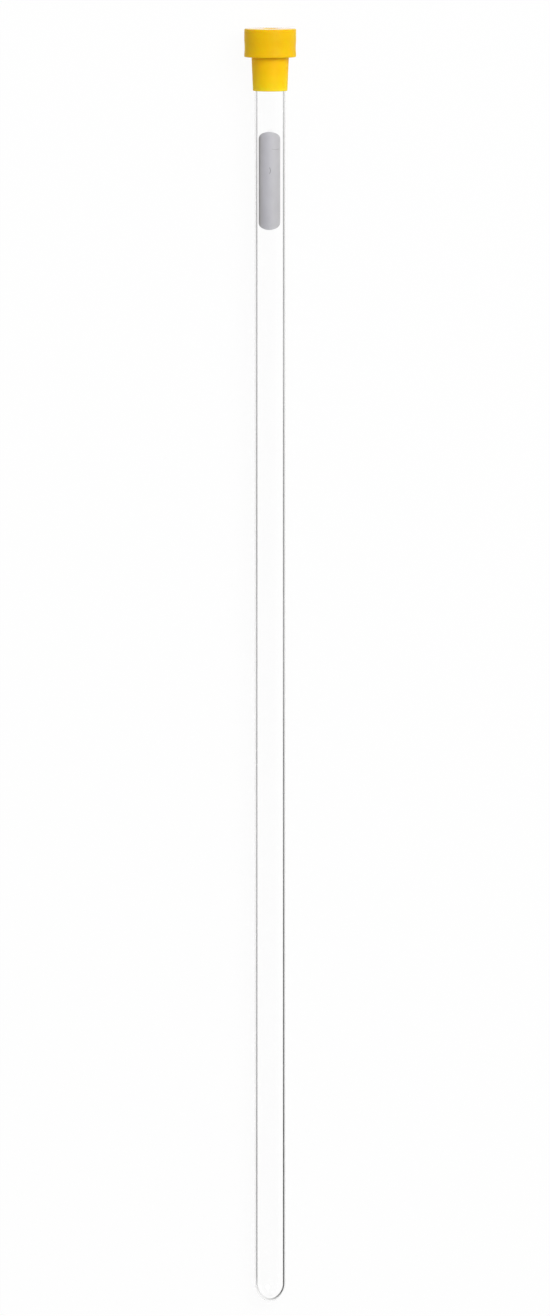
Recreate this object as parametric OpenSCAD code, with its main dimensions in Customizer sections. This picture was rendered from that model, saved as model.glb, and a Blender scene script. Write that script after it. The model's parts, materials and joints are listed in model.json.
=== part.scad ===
// Sample tube for magnetic resonance work, with its push-on cap.
//
// A thin glass tube has one round, closed end. A soft cap grips its mouth, and a
// spot of fired enamel under the cap takes pencil notes. The tube lies on its side
// with the spot up, on the lip of the cap and on its round end, so it slopes a
// little. +Y runs along the tube towards the cap and +Z is up. Sizes are millimetres.

/* [Glass tube] */
// Length of the tube, from the tip of its round end to its mouth
tube_length = 203.2; // [120:0.1:250]
// Outside diameter of the tube
tube_od = 4.97; // [3:0.01:10]
// Thickness of the glass
tube_wall = 0.385; // [0.2:0.005:0.7]
// Length of the round end, as a multiple of the tube's outside radius
end_stretch = 1.16; // [1.04:0.01:1.5]

/* [Cap] */
// Gap all round between the tube and the cap's bore, at the bore's narrow inner end
grip_clearance = 0.02; // [0.01:0.005:0.05]
// Gap between the tube's mouth and the end of the cap's bore
seat_gap = 0.02; // [0.01:0.01:0.2]
// Height of the sleeve that grips the tube
sleeve_h = 5.42; // [3:0.01:12]
// Thickness of the sleeve at its open end
sleeve_end_wall = 0.24; // [0.2:0.01:0.8]
// Thickness of the sleeve where it meets the head
sleeve_root_wall = 0.48; // [0.3:0.01:1]
// Height of the head
head_h = 4.54; // [3.5:0.01:8]
// Thickness of the head around the bore, at its top edge
head_wall = 1.645; // [1.3:0.005:3]
// Thickness of the cap's top, over the tube's mouth
top_wall = 1.2; // [0.8:0.05:2]

/* [Cap moulding] */
// How far the side of the head draws in at its waist
waist_depth = 0.055; // [0.02:0.005:0.2]
// Height of the waist over the head's lower face
waist_h = 1.45; // [1.2:0.01:1.8]
// Height of the head's lip, the straight land under its waist
lip_h = 0.42; // [0.4:0.01:0.6]
// Height of the straight land at each end of the sleeve's taper
sleeve_land_h = 0.2; // [0.15:0.01:0.5]
// Radius of the lip's lower edge
lip_edge_r = 0.14; // [0.05:0.01:0.2]
// Radius of the head's top edge
top_edge_r = 0.25; // [0.1:0.01:0.5]
// Radius of the fillet under the head
root_fillet_r = 0.12; // [0.05:0.01:0.15]
// Radius of the outer edge at the sleeve's open end
sleeve_edge_r = 0.12; // [0.05:0.01:0.15]
// How much wider the bore's radius is at its mouth, so that the cap leaves its core
bore_draft = 0.03; // [0.01:0.005:0.05]
// Height of the bore's straight land, just under the fillet at its end
bore_land_h = 0.04; // [0.02:0.01:0.1]
// Size of the lead-in chamfer at the mouth of the bore
lead_in = 0.08; // [0.04:0.01:0.15]
// Radius of the fillet at the end of the bore
bore_end_r = 0.15; // [0.05:0.01:0.3]

/* [Gate mark] */
// Diameter of the dish that the mould's gate leaves in the top
gate_dish_d = 2.6; // [1.5:0.1:4]
// Depth of the dish
gate_dish_depth = 0.22; // [0.1:0.01:0.4]
// Width of the dish's sloping side
gate_dish_slope = 0.3; // [0.1:0.05:0.4]
// Diameter of the stub left where the gate broke off
gate_stub_d = 0.8; // [0.4:0.1:1]
// Height of the stub, which stays below the top
gate_stub_h = 0.12; // [0.05:0.01:0.15]

/* [Marking spot] */
// Length of the spot along the tube
spot_length = 15.7; // [6:0.1:30]
// Width of the spot, measured round the glass
spot_width = 3.8; // [2:0.1:4.5]
// Radius of the spot's corners, seen from straight above it
spot_corner_r = 1.1; // [0.3:0.05:2]
// Thickness of the enamel
spot_thickness = 0.04; // [0.02:0.01:0.1]
// Bare glass between the cap and the spot
spot_gap = 6.45; // [2:0.05:20]
// Turn of the spot about the tube, from straight up towards -X
spot_turn = 3.7; // [-40:0.1:40]

/* [Hidden] */
$fn = 96;

// The tube stands on its round end in its own frame, which is where the sections
// are drawn: the axis is Z, and the glass leaves its straight run at z = 0.
tube_r = tube_od / 2;
inner_r = tube_r - tube_wall;
end_rise = tube_r * end_stretch;
mouth_z = tube_length - end_rise;
rim_r = tube_wall / 2;
rim_z = mouth_z - rim_r;

// The round end is two arcs that run into each other, close to half an ellipse: a
// wide one at the shoulder and a closer one round the tip. The line through both
// centres and the join goes 3 out for 4 down, and that fixes both radii.
tip_r = 2 * tube_r - end_rise;
tip_c = [0, tip_r - end_rise];
shoulder_r = (3 * end_rise - tube_r) / 2;
shoulder_c = [tube_r - shoulder_r, 0];
join_way = [3, -4] / 5;

// The cap's section is drawn with the open end of its sleeve at z = 0. Its bore
// narrows all the way to the tube's rim.
bore_r = tube_r + grip_clearance;
bore_mouth_r = bore_r + bore_draft;
cap_h = sleeve_h + head_h;
bore_h = cap_h - top_wall;
sleeve_end_r = bore_mouth_r + sleeve_end_wall;
sleeve_root_r = bore_r + sleeve_root_wall;
head_r = bore_r + head_wall;
waist_r = head_r - waist_depth;
waist_arc_r = (pow(waist_h - lip_h, 2) + pow(waist_depth, 2)) / (2 * waist_depth);
cap_z = mouth_z + seat_gap - bore_h;

// Small edges give way to the walls that they are cut from.
sleeve_round = min(sleeve_edge_r, 0.5 * sleeve_end_wall);
sleeve_chamfer = min(lead_in, 0.35 * sleeve_end_wall);
bore_round = min(bore_end_r, rim_r);

// Half the spot's width as seen from above it, to the nearest thousandth, so that
// its sides and the arcs of its corners meet cleanly.
spot_half_angle = spot_width / tube_r / 2 * 180 / PI;
spot_half_w = round(1000 * tube_r * sin(spot_half_angle)) / 1000;
spot_round = min(spot_corner_r, 0.95 * spot_half_w);
spot_z = cap_z - spot_gap - spot_length;

// The floor touches the lip's lower edge and the shoulder of the round end, so its
// line is the common tangent of those two arcs.
lip_c = [head_r - lip_edge_r, cap_z + sleeve_h + lip_edge_r];
arcs_apart = [lip_c.y - shoulder_c.y, shoulder_c.x - lip_c.x];
rest_tilt = asin((lip_edge_r - shoulder_r) / norm(arcs_apart))
    - atan2(arcs_apart.y, arcs_apart.x);
rest_z = shoulder_c.x * cos(rest_tilt) + shoulder_r;
low_y = tip_c.y * cos(rest_tilt) - tip_r;
high_y = (cap_z + cap_h - top_edge_r) * cos(rest_tilt)
    + (head_r - top_edge_r) * sin(rest_tilt) + top_edge_r;

// Lays a piece of the standing tube down, with the whole part centred on Y.
module lay_down() {
    translate([0, -(low_y + high_y) / 2, rest_z])
        rotate([rest_tilt - 90, 0, 0])
            children();
}

// A slice of a disc, between two unit vectors less than half a turn apart.
module sector(centre, r, from_way, to_way) {
    reach = 2 * r;
    translate(centre) intersection() {
        circle(r);
        polygon(reach * [[0, 0], from_way, from_way + to_way, to_way]);
    }
}

function unit(v) = v / norm(v);
function xy(corner) = [corner.x, corner.y];

// A polygon whose corners are [x, y, radius], anticlockwise. Each corner with a
// radius is cut straight across, and a slice of a true circle then fills it out,
// or hollows it where the outline turns inwards.
module rounded_outline(corners) {
    n = len(corners);
    at = [for (i = [0:n - 1]) xy(corners[i])];
    back = [for (i = [0:n - 1]) unit(at[(i + n - 1) % n] - at[i])];
    on = [for (i = [0:n - 1]) unit(at[(i + 1) % n] - at[i])];
    half = [for (i = [0:n - 1]) acos(back[i] * on[i]) / 2];
    cut = [for (i = [0:n - 1]) corners[i].z / tan(half[i])];
    turn = [for (i = [0:n - 1]) corners[i].z * cross(on[i], back[i])];

    module corner_slice(i) {
        r = corners[i].z;
        centre = at[i] + unit(back[i] + on[i]) * r / sin(half[i]);
        from_way = (at[i] + cut[i] * back[i] - centre) / r;
        to_way = (at[i] + cut[i] * on[i] - centre) / r;
        sector(centre, r, from_way, to_way);
    }

    difference() {
        union() {
            polygon([
                for (i = [0:n - 1])
                    each cut[i] > 0
                        ? [at[i] + cut[i] * back[i], at[i] + cut[i] * on[i]]
                        : [at[i]]
            ]);
            for (i = [0:n - 1]) if (turn[i] > 0) corner_slice(i);
        }
        for (i = [0:n - 1]) if (turn[i] < 0) corner_slice(i);
    }
}

// Half of the round end, from the axis out, with its surface moved in by inset. The
// tip's disc runs on under the shoulder's, so the two overlap and don't just meet.
module round_end_section(inset) {
    tip_section_r = tip_r - inset;
    shoulder_section_r = shoulder_r - inset;
    intersection() {
        union() {
            sector(shoulder_c, shoulder_section_r, join_way, [1, 0]);
            translate(tip_c) circle(tip_section_r);
        }
        translate([0, tip_c.y - tip_section_r])
            square([tube_r, end_rise]);
    }
}

// Drawn glass tubing, closed in a flame at one end and with its mouth melted round.
module tube() {
    color([0.86, 0.93, 0.95, 0.4]) lay_down() rotate_extrude() {
        difference() {
            union() {
                round_end_section(0);
                square([tube_r, rim_z]);
            }
            union() {
                round_end_section(tube_wall);
                square([inner_r, rim_z]);
            }
        }
        translate([tube_r - rim_r, rim_z])
            circle(rim_r);
    }
}

// The cap is one soft moulding: a thin tapered sleeve, a thick head with a waist
// over its lip, and the dish and stub of the gate in the middle of its top.
module cap_section() {
    dish_r = gate_dish_d / 2;
    dish_z = cap_h - gate_dish_depth;
    stub_r = gate_stub_d / 2;
    stub_z = dish_z + gate_stub_h;
    waist_z = sleeve_h + waist_h;
    difference() {
        rounded_outline([
            [0, bore_h, 0],
            [bore_r, bore_h, bore_round],
            [bore_r, bore_h - bore_round - bore_land_h, 0],
            [bore_mouth_r, sleeve_chamfer, 0],
            [bore_mouth_r + sleeve_chamfer, 0, 0],
            [sleeve_end_r, 0, sleeve_round],
            [sleeve_end_r, sleeve_land_h, 0],
            [sleeve_root_r, sleeve_h - sleeve_land_h, 0],
            [sleeve_root_r, sleeve_h, root_fillet_r],
            [head_r, sleeve_h, lip_edge_r],
            [head_r, cap_h, top_edge_r],
            [dish_r, cap_h, 0],
            [dish_r - gate_dish_slope, dish_z, 0],
            [stub_r, dish_z, 0],
            [stub_r, stub_z, 0],
            [0, stub_z, 0],
        ]);
        translate([waist_r + waist_arc_r, waist_z])
            circle(waist_arc_r);
    }
}

module cap() {
    color("#f3bd0c") lay_down() translate([0, 0, cap_z]) rotate_extrude()
        cap_section();
}

// White enamel fired on to the glass: a skin that wraps the top of the tube.
module marking_spot() {
    outer_r = tube_r + spot_thickness;
    color("#d9d9dd") lay_down() translate([0, 0, spot_z]) rotate([0, 0, -spot_turn])
        intersection() {
            difference() {
                cylinder(r = outer_r, h = spot_length);
                cylinder(r = tube_r, h = spot_length);
            }
            rotate([90, 0, 0])
                linear_extrude(outer_r + 1)
                    rounded_outline([
                        [-spot_half_w, 0, spot_round],
                        [spot_half_w, 0, spot_round],
                        [spot_half_w, spot_length, spot_round],
                        [-spot_half_w, spot_length, spot_round],
                    ]);
        }
}

tube();
cap();
marking_spot();
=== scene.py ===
# Sample tube for magnetic resonance work, with its push-on cap: the finish of its
# glass, cap and marking spot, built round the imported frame. Lengths are metres.
import json
import math

import bpy
from mathutils import Matrix, Vector


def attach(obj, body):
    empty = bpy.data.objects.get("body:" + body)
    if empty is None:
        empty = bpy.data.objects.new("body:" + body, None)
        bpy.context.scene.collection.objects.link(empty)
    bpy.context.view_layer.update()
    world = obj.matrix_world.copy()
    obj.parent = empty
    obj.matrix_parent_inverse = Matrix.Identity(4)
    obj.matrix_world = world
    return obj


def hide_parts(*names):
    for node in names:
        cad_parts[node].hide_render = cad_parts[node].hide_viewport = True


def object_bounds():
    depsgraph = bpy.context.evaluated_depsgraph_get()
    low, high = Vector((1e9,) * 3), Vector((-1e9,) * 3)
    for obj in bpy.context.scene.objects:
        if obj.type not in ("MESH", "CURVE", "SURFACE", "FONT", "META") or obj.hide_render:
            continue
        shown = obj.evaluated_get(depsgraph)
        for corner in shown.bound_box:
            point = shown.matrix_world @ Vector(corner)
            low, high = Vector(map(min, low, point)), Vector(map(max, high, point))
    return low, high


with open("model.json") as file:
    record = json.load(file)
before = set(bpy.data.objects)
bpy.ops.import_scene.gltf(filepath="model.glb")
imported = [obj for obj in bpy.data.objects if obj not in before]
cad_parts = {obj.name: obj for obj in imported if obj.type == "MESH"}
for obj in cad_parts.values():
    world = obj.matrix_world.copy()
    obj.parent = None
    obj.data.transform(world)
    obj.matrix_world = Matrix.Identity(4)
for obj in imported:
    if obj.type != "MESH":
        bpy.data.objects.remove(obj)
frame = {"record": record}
cad_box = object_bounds()
MM = 0.001
bpy.context.scene.view_settings.view_transform = "Standard"


# The frame: two stated mounts give the tube's line and both of its radii. The tube
# lies along +Y with its cap a little higher than its round end.
mounts = {mount["name"]: mount for mount in frame["record"]["mounts"]}
bore = mounts["tube_bore"]
along = Vector(bore["axis"]).normalized()
bore_len = bore["dims"]["length_mm"] * MM
inner_r = bore["dims"]["r_mm"] * MM
tube_r = mounts["tube_outside"]["dims"]["r_mm"] * MM
tube_wall = tube_r - inner_r
shoulder = Vector(bore["pos_m"]) - along * bore_len / 2
rest_tilt = math.asin(along.z)


# The floor: a wide sheet of pale laminate. Seen directly it is almost evenly bright, as
# a light table is, and about a twentieth of its brightness still takes a shadow.
def add_node(tree, kind, inputs=None, **settings):
    """A node with its settings. Each input, by name or number, is given a value, or a
    link from one output or from a node's first output."""
    node = tree.nodes.new(kind)
    for name, value in settings.items():
        setattr(node, name, value)
    for name, value in (inputs or {}).items():
        if isinstance(value, bpy.types.Node):
            value = value.outputs[0]
        if isinstance(value, bpy.types.NodeSocket):
            tree.links.new(value, node.inputs[name])
        else:
            node.inputs[name].default_value = value
    return node


def linear(hex_colour):
    """The linear colour of an sRGB hex value such as "#f3bd0c"."""
    parts = [int(hex_colour[i:i + 2], 16) / 255 for i in (1, 3, 5)]
    curved = [c / 12.92 if c <= 0.04045 else ((c + 0.055) / 1.055) ** 2.4 for c in parts]
    return (*curved, 1)


def new_tree(owner):
    """The node tree of a material or a world, emptied."""
    owner.use_nodes = True
    owner.node_tree.nodes.clear()
    return owner.node_tree


def seen_directly(tree):
    """1 for what the camera sees itself, in a gloss or through glass, and 0 for light."""
    path = add_node(tree, "ShaderNodeLightPath")
    seen = path.outputs["Is Camera Ray"]
    for ray in ("Is Glossy Ray", "Is Transmission Ray"):
        seen = add_node(tree, "ShaderNodeMath", {0: seen, 1: path.outputs[ray]},
                        operation="MAXIMUM")
    return seen


FLOOR_SIZE = 12.0
FLOOR_GLOW = 0.955

bpy.ops.object.select_all(action="DESELECT")
bpy.ops.mesh.primitive_plane_add(size=FLOOR_SIZE, location=(0, 0, 0))
floor = bpy.context.object
floor.name = "floor"
laminate = bpy.data.materials.new("white_laminate")
tree = new_tree(laminate)
paper = add_node(tree, "ShaderNodeBsdfDiffuse", {"Color": linear("#f0f0f0")})
glow = add_node(tree, "ShaderNodeEmission", {"Color": linear("#ffffff"), "Strength": 1.0})
share = add_node(tree, "ShaderNodeMath", {0: seen_directly(tree), 1: FLOOR_GLOW},
                 operation="MULTIPLY")
mixed = add_node(tree, "ShaderNodeMixShader", {0: share, 1: paper, 2: glow})
add_node(tree, "ShaderNodeOutputMaterial", {"Surface": mixed})
floor.data.materials.append(laminate)


# The camera: a long lens looks down on the lying tube, from a little towards the
# cap's end of it. The height of its view lies along the tube.
VIEW_HEIGHT = 210.75 * MM
VIEW_LEAN = math.radians(3.9)
VIEW_SHIFT = Vector((0.77, 1.34, 0)) * MM
VIEW_DEPTH = 50.0
LENS = 600.0
SENSOR = 36.0

middle = (cad_box[0] + cad_box[1]) / 2 + VIEW_SHIFT
distance = VIEW_HEIGHT * LENS / SENSOR
camera_data = bpy.data.cameras.new("camera")
camera_data.lens = LENS
camera_data.sensor_width = SENSOR
camera_data.clip_end = VIEW_DEPTH
camera = bpy.data.objects.new("camera", camera_data)
camera.location = middle + distance * Vector((0, math.sin(VIEW_LEAN), math.cos(VIEW_LEAN)))
camera.rotation_euler = (-VIEW_LEAN, 0, 0)
bpy.context.scene.collection.objects.link(camera)
bpy.context.scene.camera = camera


# The light: a square soft box on the right, past the cap's end, in an even pale room.
# The room looks white from behind the object and in its glass.
SOFT_BOX_AT = Vector((0.54, 0.55, 1.05))
SOFT_BOX_SIZE = 0.7
SOFT_BOX_WATTS = 12.2
ROOM_LIGHT = 0.46

lamp = bpy.data.lights.new("soft_box", "AREA")
lamp.size = SOFT_BOX_SIZE
lamp.energy = SOFT_BOX_WATTS
soft_box = bpy.data.objects.new("soft_box", lamp)
soft_box.location = SOFT_BOX_AT
soft_box.rotation_euler = (middle - SOFT_BOX_AT).to_track_quat("-Z", "Y").to_euler()
bpy.context.scene.collection.objects.link(soft_box)

room = bpy.data.worlds.new("pale_room")
bpy.context.scene.world = room
tree = new_tree(room)
lit = add_node(tree, "ShaderNodeBackground", {"Color": linear("#ffffff"), "Strength": ROOM_LIGHT})
white = add_node(tree, "ShaderNodeBackground", {"Color": linear("#ffffff"), "Strength": 1.0})
mixed = add_node(tree, "ShaderNodeMixShader", {0: seen_directly(tree), 1: lit, 2: white})
add_node(tree, "ShaderNodeOutputWorld", {"Surface": mixed})


# The glass tube: drawn borosilicate tubing, closed round in a flame at one end and
# with its mouth melted smooth. Its wall is even all the way round the closed end.
def arc(centre, radius, start, end, steps):
    """Points (r, z) on an arc, from one angle in degrees to another."""
    turns = [math.radians(start + (end - start) * i / steps) for i in range(steps + 1)]
    return [(centre[0] + radius * math.cos(t), centre[1] + radius * math.sin(t))
            for t in turns]


def drawn(name, outline):
    """A new piece in edit mode: a wire through an outline of points (x, z)."""
    bpy.ops.object.select_all(action="DESELECT")
    bpy.ops.mesh.primitive_plane_add(size=1, location=(0, 0, 0))
    piece = bpy.context.object
    piece.name = name
    bpy.ops.object.mode_set(mode="EDIT")
    bpy.ops.mesh.merge(type="CENTER")
    bpy.ops.transform.translate(value=(outline[0][0], 0, outline[0][1]))
    for (x0, z0), (x1, z1) in zip(outline, outline[1:]):
        bpy.ops.mesh.extrude_vertices_move(
            TRANSFORM_OT_translate={"value": (x1 - x0, 0, z1 - z0)})
    bpy.ops.mesh.select_all(action="SELECT")
    return piece


def turned(name, outline, steps):
    """A standing piece turned about Z from an outline of points (r, z)."""
    piece = drawn(name, outline)
    bpy.ops.mesh.spin(steps=steps, angle=2 * math.pi, center=(0, 0, 0), axis=(0, 0, 1))
    bpy.ops.mesh.select_all(action="SELECT")
    bpy.ops.mesh.remove_doubles(threshold=0.0001 * MM)
    bpy.ops.mesh.normals_make_consistent(inside=False)
    bpy.ops.object.mode_set(mode="OBJECT")
    return piece


def lay_down(piece, height=0.0, turn=0.0):
    """Lays a standing piece along the tube's line, at a height up the tube from its
    shoulder, and leaves its place in its mesh."""
    piece.matrix_world = (Matrix.Translation(shoulder)
                          @ Matrix.Rotation(rest_tilt - math.pi / 2, 4, "X")
                          @ Matrix.Translation((0, 0, height))
                          @ Matrix.Rotation(turn, 4, "Z"))
    bpy.ops.object.select_all(action="DESELECT")
    piece.select_set(True)
    bpy.context.view_layer.objects.active = piece
    bpy.ops.object.transform_apply(location=True, rotation=True, scale=True)


END_STRETCH = 1.16
JOIN_ANGLE = -math.degrees(math.atan2(4, 3))
NEAR_END = 0.05 * MM
ROUND_STEPS, OUTSIDE_STEPS, INSIDE_STEPS, RIM_STEPS = 160, 24, 20, 12

# The round end is two arcs that run into each other: a close one round the tip and a
# wide one at the shoulder.
end_rise = tube_r * END_STRETCH
tip_r = 2 * tube_r - end_rise
tip_centre = (0, tip_r - end_rise)
shoulder_r = (3 * end_rise - tube_r) / 2
shoulder_centre = (tube_r - shoulder_r, 0)
rim_r = tube_wall / 2

# Rings close to both ends of the straight wall keep its shading straight.
wall_rings = (NEAR_END, bore_len - NEAR_END)
outside = arc(tip_centre, tip_r, -90, JOIN_ANGLE, OUTSIDE_STEPS)[:-1]
outside += arc(shoulder_centre, shoulder_r, JOIN_ANGLE, 0, OUTSIDE_STEPS)
outside += [(tube_r, z) for z in wall_rings]
inside = arc(tip_centre, tip_r - tube_wall, -90, JOIN_ANGLE, INSIDE_STEPS)[:-1]
inside += arc(shoulder_centre, shoulder_r - tube_wall, JOIN_ANGLE, 0, INSIDE_STEPS)
inside += [(inner_r, z) for z in wall_rings]
melted_rim = arc((tube_r - rim_r, bore_len), rim_r, 0, 180, RIM_STEPS)
glass_tube = turned("glass_tube", outside + melted_rim + inside[::-1], ROUND_STEPS)

# The bore's faces look towards the axis, or towards the middle of the round end.
for face in glass_tube.data.polygons:
    beside = Vector((0, 0, max(face.center.z, 0)))
    looks_inwards = face.normal.dot(face.center - beside) < 0
    face.material_index = 1 if looks_inwards else 0
lay_down(glass_tube)
bpy.ops.object.shade_smooth()


# Borosilicate, fire polished: perfectly smooth and clear. Where a sight line just
# misses the bore the wall turns it aside, and painted shade stands in for what it then
# meets: a thin grey line painted into the glass's colour down each side and round the
# end. It stays there however slantwise the tube is seen, and it is fainter by the cap.
def object_axes(tree, centre=(0, 0, 0)):
    """The Object coordinates about a centre, and their X and Y by themselves."""
    place = add_node(tree, "ShaderNodeTexCoord").outputs["Object"]
    centred = add_node(tree, "ShaderNodeMapping", {0: place, "Location": -Vector(centre)})
    parts = add_node(tree, "ShaderNodeSeparateXYZ", {0: centred})
    return centred, parts.outputs["X"], parts.outputs["Y"]


# Noise keeps mostly between these two values.
NOISE_LOW, NOISE_HIGH = 0.3, 0.7


def mottled(tree, place, size, detail, lengthen, shades):
    """A value that drifts from one shade to another, in patches about a size across
    and longer along the tube."""
    stretched = add_node(tree, "ShaderNodeMapping", {0: place, "Scale": (1, 1 / lengthen, 1)})
    patches = add_node(tree, "ShaderNodeTexNoise", {
        "Vector": stretched, "Scale": 1 / size, "Detail": detail})
    return add_node(tree, "ShaderNodeMapRange", {
        "Value": patches, "From Min": NOISE_LOW, "From Max": NOISE_HIGH,
        "To Min": shades[0], "To Max": shades[1]}, interpolation_type="SMOOTHSTEP")


GLASS_IOR = 1.473
# How squarely the wall faces the eye, where the line comes in and where it goes out.
LINE_IN, LINE_OUT, LINE_DARK = (0.600, 0.545), (0.430, 0.350), 1.3
# The painted shade line's strength: pale on the left, and on the right less towards the cap.
PALE_SIDE, ROUND_END_DARK, CAP_END_DARK = 0.48, 0.74, 0.53
FADE_FROM, FADE_TO = -90 * MM, 60 * MM
# Where the painted line fades before the cap, and how much of it is left.
CAP_FADE_FROM, CAP_FADE_TO, CAP_FADE_DARK = 70 * MM, 92 * MM, 0.72
# Patches in which the painted line's darkness wobbles along the tube.
LINE_WOBBLE_SIZE = 12 * MM
# Where the painted line fades almost away, on the left of the round end.
LINE_GAP_AT = Vector((-1.75, -101.6, 2.6)) * MM
LINE_GAP_FROM, LINE_GAP_TO, LINE_GAP_DARK = 0.5 * MM, 4.0 * MM, 0.1

glass = bpy.data.materials.new("borosilicate_glass")
tree = new_tree(glass)
place, across, lengthways = object_axes(tree)

# How squarely the wall faces the eye is a cosine. It is divided by the most that it can
# be at the slant from which the tube is seen, and that fades out over the round end.
facing = add_node(tree, "ShaderNodeLayerWeight", {"Blend": 0.5}).outputs["Facing"]
to_eye = add_node(tree, "ShaderNodeMath", {0: 1.0, 1: facing}, operation="SUBTRACT")
tube_line = add_node(tree, "ShaderNodeCombineXYZ", {"X": along.x, "Y": along.y, "Z": along.z})
end_on = add_node(tree, "ShaderNodeLayerWeight", {"Blend": 0.5, "Normal": tube_line})
along_eye = add_node(tree, "ShaderNodeMath", {0: 1.0, 1: end_on.outputs["Facing"]},
                     operation="SUBTRACT")
straight = add_node(tree, "ShaderNodeMapRange", {
    "Value": lengthways, "From Min": shoulder.y - end_rise, "From Max": shoulder.y},
    interpolation_type="SMOOTHSTEP")
slant = add_node(tree, "ShaderNodeMath", {0: along_eye, 1: straight}, operation="MULTIPLY")
slant_angle = add_node(tree, "ShaderNodeMath", {0: slant}, operation="ARCSINE")
squarest = add_node(tree, "ShaderNodeMath", {0: slant_angle}, operation="COSINE")
square_on = add_node(tree, "ShaderNodeMath", {0: to_eye, 1: squarest}, operation="DIVIDE")

line_in = add_node(tree, "ShaderNodeMapRange", {
    "Value": square_on, "From Min": LINE_IN[0], "From Max": LINE_IN[1]},
    interpolation_type="SMOOTHSTEP")
line_out = add_node(tree, "ShaderNodeMapRange", {
    "Value": square_on, "From Min": LINE_OUT[0], "From Max": LINE_OUT[1],
    "To Min": 1.0, "To Max": 0.0}, interpolation_type="SMOOTHSTEP")
by_length = add_node(tree, "ShaderNodeMapRange", {
    "Value": lengthways, "From Min": FADE_FROM, "From Max": FADE_TO,
    "To Min": ROUND_END_DARK, "To Max": CAP_END_DARK}, interpolation_type="SMOOTHSTEP")
by_side = add_node(tree, "ShaderNodeMapRange", {
    "Value": across, "From Min": -tube_r, "From Max": tube_r,
    "To Min": PALE_SIDE, "To Max": by_length})
# The painted line is fainter over the last stretch before the cap.
by_cap_fade = add_node(tree, "ShaderNodeMapRange", {
    "Value": lengthways, "From Min": CAP_FADE_FROM, "From Max": CAP_FADE_TO,
    "To Min": 1.0, "To Max": CAP_FADE_DARK}, interpolation_type="SMOOTHSTEP")
# The painted line's darkness wobbles a little along the tube.
line_wobble = mottled(tree, place, LINE_WOBBLE_SIZE, detail=1.0, lengthen=2.0, shades=(0.85, 1.0))
# Around one place on the left of the round end the painted line fades almost away.
from_line_gap = add_node(tree, "ShaderNodeVectorMath", {0: place, 1: LINE_GAP_AT},
                          operation="DISTANCE").outputs["Value"]
by_line_gap = add_node(tree, "ShaderNodeMapRange", {
    "Value": from_line_gap, "From Min": LINE_GAP_FROM, "From Max": LINE_GAP_TO,
    "To Min": LINE_GAP_DARK, "To Max": 1.0}, interpolation_type="SMOOTHSTEP")
# The darkness of the painted shade line: its band times its strength at each place.
dark = line_in
for factor in (line_out, by_side, by_cap_fade, line_wobble, by_line_gap):
    dark = add_node(tree, "ShaderNodeMath", {0: dark, 1: factor}, operation="MULTIPLY")
light = add_node(tree, "ShaderNodeMath", {0: dark, 1: -LINE_DARK, 2: 1.0},
                 operation="MULTIPLY_ADD", use_clamp=True)

# The painted shade line goes into the glass's colour. The shader takes the root of its
# colour at each surface, so the colour is squared.
painted_line_tint = add_node(tree, "ShaderNodeMath", {0: light, 1: 2.0}, operation="POWER")
clear = add_node(tree, "ShaderNodeBsdfPrincipled", {
    "Base Color": painted_line_tint, "Roughness": 0.0, "IOR": GLASS_IOR, "Transmission Weight": 1.0})
add_node(tree, "ShaderNodeOutputMaterial", {"Surface": clear})
glass_tube.data.materials.append(glass)

# The bore's own surface is the same glass, without the painted shade line.
bore_glass = bpy.data.materials.new("borosilicate_bore")
tree = new_tree(bore_glass)
clear = add_node(tree, "ShaderNodeBsdfPrincipled", {
    "Base Color": linear("#ffffff"), "Roughness": 0.0, "IOR": GLASS_IOR,
    "Transmission Weight": 1.0})
add_node(tree, "ShaderNodeOutputMaterial", {"Surface": clear})
glass_tube.data.materials.append(bore_glass)
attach(glass_tube, "tube_body")
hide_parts("tube")


# The cap: one soft moulding in yellow polyethylene, pushed over the tube's mouth. A
# thin tapered sleeve grips the glass, and the thick head has a waist to pull it by.
def rounded(corners, steps):
    """An outline of points (r, z) through corners (r, z, radius), each rounded off. It
    starts at the first corner and ends at the last."""
    outline = [corners[0][:2]]
    for before, (r, z, radius), after in zip(corners, corners[1:], corners[2:]):
        if radius == 0:
            outline.append((r, z))
            continue
        corner = Vector((r, z))
        back = (Vector(before[:2]) - corner).normalized()
        on = (Vector(after[:2]) - corner).normalized()
        half = back.angle(on) / 2
        centre = corner + (back + on).normalized() * radius / math.sin(half)
        first = (corner + back * radius / math.tan(half) - centre).normalized()
        last = (corner + on * radius / math.tan(half) - centre).normalized()
        for step in range(steps + 1):
            outline.append(tuple(centre + first.slerp(last, step / steps) * radius))
    outline.append(corners[-1][:2])
    return outline


SLEEVE_H, HEAD_H, TOP_WALL, SEAT_GAP = 5.42 * MM, 4.54 * MM, 1.2 * MM, 0.02 * MM
BORE_R, BORE_MOUTH_R, BORE_LAND_H = 2.505 * MM, 2.535 * MM, 0.04 * MM
SLEEVE_END_R, SLEEVE_ROOT_R, SLEEVE_LAND_H = 2.775 * MM, 2.985 * MM, 0.2 * MM
HEAD_R, LIP_H = 4.15 * MM, 0.42 * MM
WAIST_DEPTH, WAIST_H = 0.055 * MM, 1.45 * MM
DISH_R, DISH_DEPTH, DISH_SLOPE = 1.3 * MM, 0.22 * MM, 0.3 * MM
DISH_EDGE_R, DISH_FLOOR_R = 0.06 * MM, 0.1 * MM
STUB_R, STUB_H, STUB_ROOT_R, STUB_EDGE_R = 0.4 * MM, 0.12 * MM, 0.03 * MM, 0.04 * MM
EDGE_R, TOP_EDGE_R, LEAD_IN, BORE_END_R = 0.12 * MM, 0.25 * MM, 0.08 * MM, 0.15 * MM
EDGE_STEPS, WAIST_STEPS, TOP_STEPS = 6, 16, 8

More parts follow.
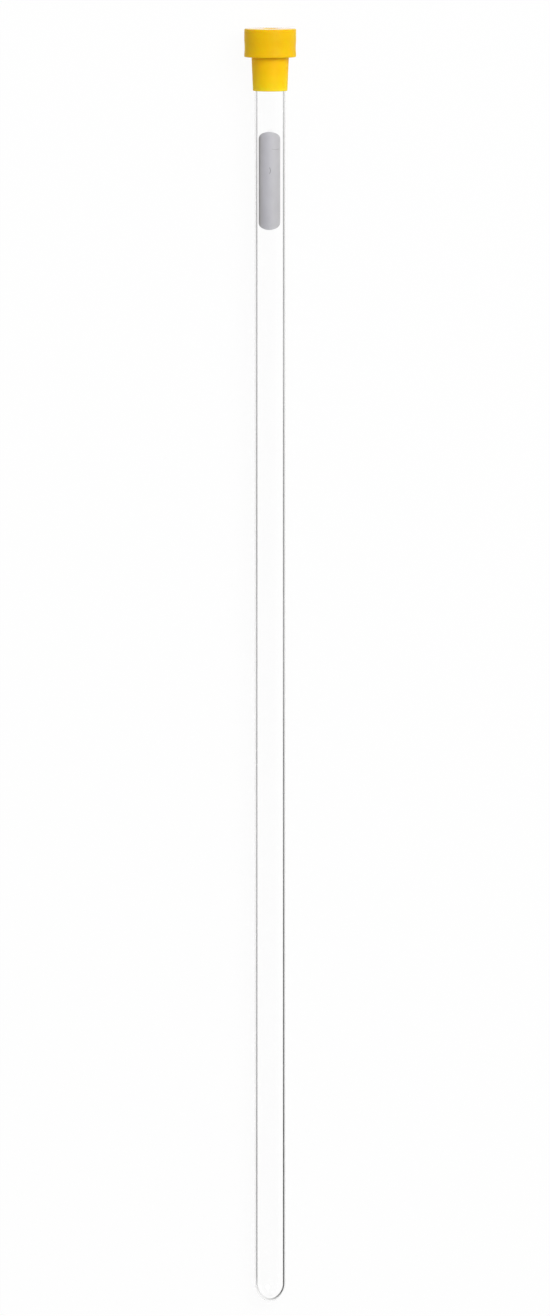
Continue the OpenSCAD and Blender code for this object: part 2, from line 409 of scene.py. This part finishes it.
cap_h = SLEEVE_H + HEAD_H
bore_h = cap_h - TOP_WALL
cap_height = bore_len + rim_r + SEAT_GAP - bore_h
dish_z = cap_h - DISH_DEPTH
waist_z = SLEEVE_H + WAIST_H
waist_reach = WAIST_H - LIP_H
waist_arc_r = (waist_reach ** 2 + WAIST_DEPTH ** 2) / (2 * WAIST_DEPTH)
waist_angle = math.degrees(math.asin(waist_reach / waist_arc_r))

lower = rounded([
    (0, bore_h, 0),
    (BORE_R, bore_h, BORE_END_R),
    (BORE_R, bore_h - BORE_END_R - BORE_LAND_H, 0),
    (BORE_MOUTH_R, LEAD_IN, 0),
    (BORE_MOUTH_R + LEAD_IN, 0, 0),
    (SLEEVE_END_R, 0, EDGE_R),
    (SLEEVE_END_R, SLEEVE_LAND_H, 0),
    (SLEEVE_ROOT_R, SLEEVE_H - SLEEVE_LAND_H, 0),
    (SLEEVE_ROOT_R, SLEEVE_H, EDGE_R),
    (HEAD_R, SLEEVE_H, EDGE_R),
    (HEAD_R, SLEEVE_H + LIP_H, 0)], EDGE_STEPS)
waist = arc((HEAD_R - WAIST_DEPTH + waist_arc_r, waist_z), waist_arc_r,
            180 + waist_angle, 180 - waist_angle, WAIST_STEPS)
upper = rounded([
    (HEAD_R, waist_z + waist_reach, 0),
    (HEAD_R, cap_h, TOP_EDGE_R),
    (DISH_R, cap_h, DISH_EDGE_R),
    (DISH_R - DISH_SLOPE, dish_z, DISH_FLOOR_R),
    (STUB_R, dish_z, STUB_ROOT_R),
    (STUB_R, dish_z + STUB_H, STUB_EDGE_R),
    (0, dish_z + STUB_H, 0)], TOP_STEPS)
push_cap = turned("push_cap", lower[:-1] + waist + upper[1:], ROUND_STEPS)
lay_down(push_cap, cap_height)
bpy.ops.object.shade_smooth_by_angle(angle=math.radians(40))


# Low-density polyethylene: soft and waxy, with the fine even grain of a spark-eroded
# mould, here drawn coarser than it is, and a polished top. The thin sleeve lets light
# through, and that light is painted into its colour too: the sleeve is painted paler
# than the head, most of all at its end. The melt's flow left faint shades.
def set_shades(ramp, shades):
    """Sets the stops of a colour ramp, from pairs of a place on it and a hex colour."""
    stops = ramp.color_ramp.elements
    for stop, (position, hex_colour) in zip(stops, (shades[0], shades[-1])):
        stop.position = position
        stop.color = linear(hex_colour)
    for position, hex_colour in shades[1:-1]:
        stops.new(position).color = linear(hex_colour)


# The cap's yellow from the sleeve's end to the head, with the light through the thin sleeve
# painted in as paler stops towards its end.
YELLOWS_WITH_PAINTED_LIGHT = ((0.0, "#ffd629"), (0.12, "#ffce10"), (0.5, "#fcc506"), (0.97, "#f8c004"),
           (1.0, "#ecbd04"))
FLOW_SIZE, SINK_SIZE, GRAIN_SIZE = 2.2 * MM, 1.6 * MM, 0.28 * MM
SINK_DEPTH, GRAIN_DEPTH = 0.02 * MM, 0.012 * MM
TOP_FROM, TOP_TO = 0.09 * MM, 0.05 * MM
ERODED, POLISHED = (0.42, 0.56), 0.05

polyethylene = bpy.data.materials.new("moulded_polyethylene")
tree = new_tree(polyethylene)
place, _, lengthways = object_axes(tree)
sleeve_end_y, head_y, top_y = [
    (shoulder + along * (cap_height + up)).y for up in (0, SLEEVE_H, cap_h)]
# The colour along the cap, painted paler down the sleeve for the light through it.
from_end = add_node(tree, "ShaderNodeMapRange", {
    "Value": lengthways, "From Min": sleeve_end_y, "From Max": head_y})
yellow_with_painted_light = add_node(tree, "ShaderNodeValToRGB", {0: from_end})
set_shades(yellow_with_painted_light, YELLOWS_WITH_PAINTED_LIGHT)
flow = mottled(tree, place, FLOW_SIZE, detail=3.0, lengthen=2.5, shades=(0.96, 1.03))
shaded = add_node(tree, "ShaderNodeVectorMath", {0: yellow_with_painted_light, "Scale": flow}, operation="SCALE")
on_top = add_node(tree, "ShaderNodeMapRange", {
    "Value": lengthways, "From Min": top_y - TOP_FROM, "From Max": top_y - TOP_TO},
    interpolation_type="SMOOTHSTEP")
sink = add_node(tree, "ShaderNodeTexNoise", {
    "Vector": place, "Scale": 1 / SINK_SIZE, "Detail": 1.0})
grain = add_node(tree, "ShaderNodeTexNoise", {
    "Vector": place, "Scale": 1 / GRAIN_SIZE, "Detail": 2.0})
sink_strength = add_node(tree, "ShaderNodeMapRange", {
    "Value": on_top, "To Min": 0.5, "To Max": 0.0})
grain_strength = add_node(tree, "ShaderNodeMapRange", {
    "Value": on_top, "To Min": 0.35, "To Max": 0.0})
soft_relief = add_node(tree, "ShaderNodeBump", {
    "Height": sink, "Distance": SINK_DEPTH, "Strength": sink_strength})
relief = add_node(tree, "ShaderNodeBump", {
    "Height": grain, "Distance": GRAIN_DEPTH, "Strength": grain_strength,
    "Normal": soft_relief})
eroded = add_node(tree, "ShaderNodeMapRange", {
    "Value": grain, "From Min": NOISE_LOW, "From Max": NOISE_HIGH,
    "To Min": ERODED[0], "To Max": ERODED[1]}, interpolation_type="SMOOTHSTEP")
roughness = add_node(tree, "ShaderNodeMapRange", {
    "Value": on_top, "To Min": eroded, "To Max": POLISHED})
satin = add_node(tree, "ShaderNodeBsdfPrincipled", {
    "Base Color": shaded, "Normal": relief, "Roughness": roughness, "IOR": 1.51,
    "Specular IOR Level": 0.12, "Subsurface Weight": 0.55,
    "Subsurface Radius": (1.0, 0.40, 0.03), "Subsurface Scale": 0.6 * MM})
add_node(tree, "ShaderNodeOutputMaterial", {"Surface": satin})
push_cap.data.materials.append(polyethylene)
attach(push_cap, "cap_body")
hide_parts("cap")


# The marking spot: white enamel, printed on the glass and fused to it in a kiln, to be
# written on in pencil. It wraps the top of the tube, its ends are a little crowned, and
# it bites a hair into the glass.
def finished(piece, kind, **settings):
    """Applies one modifier, with its settings, to a piece."""
    modifier = piece.modifiers.new(kind.lower(), kind)
    for name, value in settings.items():
        setattr(modifier, name, value)
    bpy.ops.object.select_all(action="DESELECT")
    piece.select_set(True)
    bpy.context.view_layer.objects.active = piece
    bpy.ops.object.modifier_apply(modifier=modifier.name)


SPOT_LENGTH, SPOT_WIDTH = 15.7 * MM, 3.8 * MM
SPOT_CORNER_R, SPOT_CROWN_R = 0.98 * MM, 2.5 * MM
SPOT_GAP, SPOT_TURN = 6.45 * MM, math.radians(3.7)
SPOT_THICKNESS, SPOT_BITE, SPOT_EDGE = 0.04 * MM, 0.01 * MM, 0.012 * MM
SPOT_STEPS, OUTLINE_STEPS = 192, 12

half_angle = SPOT_WIDTH / tube_r / 2
half_width = tube_r * math.sin(half_angle)
skin_out, skin_in = tube_r + SPOT_THICKNESS, tube_r - SPOT_BITE
marking_spot = turned("enamel_spot", [
    (skin_in, 0), (skin_out, 0), (skin_out, SPOT_LENGTH), (skin_in, SPOT_LENGTH),
    (skin_in, 0)], SPOT_STEPS)

corner_x = half_width - SPOT_CORNER_R
corner_rise = math.sqrt((SPOT_CROWN_R - SPOT_CORNER_R) ** 2 - corner_x ** 2)
crown_z = SPOT_LENGTH - SPOT_CROWN_R
corner_z = crown_z + corner_rise
corner_turn = math.degrees(math.atan2(corner_rise, corner_x))
right_corner = arc((corner_x, corner_z), SPOT_CORNER_R, 0, corner_turn, OUTLINE_STEPS)
crown = arc((0, crown_z), SPOT_CROWN_R, corner_turn, 180 - corner_turn, OUTLINE_STEPS)
left_corner = [(-x, z) for x, z in reversed(right_corner)]
upper_end = right_corner[:-1] + crown[:-1] + left_corner
lower_end = [(-x, SPOT_LENGTH - z) for x, z in upper_end]
stencil = drawn("stencil", upper_end + lower_end)
bpy.ops.mesh.edge_face_add()
bpy.ops.mesh.extrude_region_move(TRANSFORM_OT_translate={"value": (0, -2 * tube_r, 0)})
bpy.ops.mesh.select_all(action="SELECT")
bpy.ops.mesh.normals_make_consistent(inside=False)
bpy.ops.object.mode_set(mode="OBJECT")

finished(marking_spot, "BOOLEAN", operation="INTERSECT", solver="EXACT", object=stencil)
bpy.data.objects.remove(stencil)
finished(marking_spot, "BEVEL", width=SPOT_EDGE, segments=2, limit_method="ANGLE",
         angle_limit=math.radians(50))
spot_height = cap_height - SPOT_GAP - SPOT_LENGTH
lay_down(marking_spot, spot_height, -SPOT_TURN)
bpy.ops.object.shade_smooth_by_angle(angle=math.radians(30))


# Fired enamel: matt and a little chalky, its fine grain drawn coarser than it is, and
# greyish for its thinness. Shade is painted into its colour: it is darker and cooler on
# its left and a little darker at its right edge, as the light falls across it, with a
# painted shadow along its left edge. It carries a pencil tick and a short scratch.
MARK_W = 0.06 * MM


def stroke(tree, flat_place, centre, radius, depth, along_it, limits):
    """The depth of a thin curved mark: a part of a circle, where a value is past its
    limits, with an end that fades between them."""
    from_centre = add_node(tree, "ShaderNodeVectorMath", {0: flat_place, 1: (*centre, 0)},
                           operation="DISTANCE").outputs["Value"]
    past_it = add_node(tree, "ShaderNodeMath", {0: from_centre, 1: radius},
                       operation="SUBTRACT")
    off_it = add_node(tree, "ShaderNodeMath", {0: past_it}, operation="ABSOLUTE")
    ring = add_node(tree, "ShaderNodeMapRange", {
        "Value": off_it, "From Min": 0.0, "From Max": MARK_W, "To Min": depth, "To Max": 0.0},
        interpolation_type="SMOOTHSTEP")
    kept = add_node(tree, "ShaderNodeMapRange", {
        "Value": along_it, "From Min": limits[0], "From Max": limits[1]},
        interpolation_type="SMOOTHSTEP")
    return add_node(tree, "ShaderNodeMath", {0: ring, 1: kept}, operation="MULTIPLY")


# Greys across the spot from its left edge, with painted shade: darkest in a painted shadow at the
# left edge, lightest a little right of the middle.
GREYS_WITH_PAINTED_SHADE = ((0.0, "#7b7778"), (0.05, "#9b989a"), (0.12, "#b3b1b5"), (0.30, "#b8b7be"),
         (0.55, "#c0bfc5"), (0.70, "#bfbec2"), (0.90, "#b8b7ba"), (1.0, "#b7b6b8"))
CLOUD_SIZE, CHALK_SIZE, CHALK_DEPTH = 1.3 * MM, 0.25 * MM, 0.01 * MM
TICK_AT, TICK_R, TICK_REACH = (-0.55 * MM, 1.62 * MM), 0.75 * MM, 0.50 * MM
SCRATCH_AT, SCRATCH_R, SCRATCH_REACH = (1.03 * MM, 6.48 * MM), 1.50 * MM, 0.65 * MM
TICK_DEPTH, SCRATCH_DEPTH = 0.78, 0.35
TICK_FADE, SCRATCH_FADE = 0.03 * MM, 0.05 * MM

enamel = bpy.data.materials.new("fired_enamel")
tree = new_tree(enamel)
spot_middle = shoulder + along * (spot_height + SPOT_LENGTH / 2)
spot_middle.x = -tube_r * math.sin(SPOT_TURN)
place, across, lengthways = object_axes(tree, spot_middle)
# Painted shade across the spot, from its left edge to its right.
from_left = add_node(tree, "ShaderNodeMapRange", {
    "Value": across, "From Min": -half_width, "From Max": half_width})
grey_with_painted_shade = add_node(tree, "ShaderNodeValToRGB", {0: from_left})
set_shades(grey_with_painted_shade, GREYS_WITH_PAINTED_SHADE)
flat_place = add_node(tree, "ShaderNodeCombineXYZ", {"X": across, "Y": lengthways})
tick_end = TICK_AT[0] + math.sqrt(TICK_R ** 2 - TICK_REACH ** 2)
tick = stroke(tree, flat_place, TICK_AT, TICK_R, TICK_DEPTH, across,
              (tick_end, tick_end + TICK_FADE))
scratch_end = SCRATCH_AT[1] - math.sqrt(SCRATCH_R ** 2 - SCRATCH_REACH ** 2)
scratch = stroke(tree, flat_place, SCRATCH_AT, SCRATCH_R, SCRATCH_DEPTH, lengthways,
                 (scratch_end, scratch_end - SCRATCH_FADE))
marks = add_node(tree, "ShaderNodeMath", {0: tick, 1: scratch}, operation="MAXIMUM")
unmarked = add_node(tree, "ShaderNodeMath", {0: 1.0, 1: marks}, operation="SUBTRACT")
cloud = mottled(tree, place, CLOUD_SIZE, detail=3.0, lengthen=2.0, shades=(0.97, 1.02))
shade = add_node(tree, "ShaderNodeMath", {0: cloud, 1: unmarked}, operation="MULTIPLY")
shaded = add_node(tree, "ShaderNodeVectorMath", {0: grey_with_painted_shade, "Scale": shade}, operation="SCALE")
chalk = add_node(tree, "ShaderNodeTexNoise", {
    "Vector": place, "Scale": 1 / CHALK_SIZE, "Detail": 2.0})
relief = add_node(tree, "ShaderNodeBump", {
    "Height": chalk, "Distance": CHALK_DEPTH, "Strength": 0.3})
matt = add_node(tree, "ShaderNodeBsdfPrincipled", {
    "Base Color": shaded, "Normal": relief, "Roughness": 0.75, "Specular IOR Level": 0.3,
    "Subsurface Weight": 0.5, "Subsurface Radius": (1.0, 1.0, 1.0),
    "Subsurface Scale": 0.4 * MM})
add_node(tree, "ShaderNodeOutputMaterial", {"Surface": matt})
marking_spot.data.materials.append(enamel)
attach(marking_spot, "tube_body")
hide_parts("marking_spot")
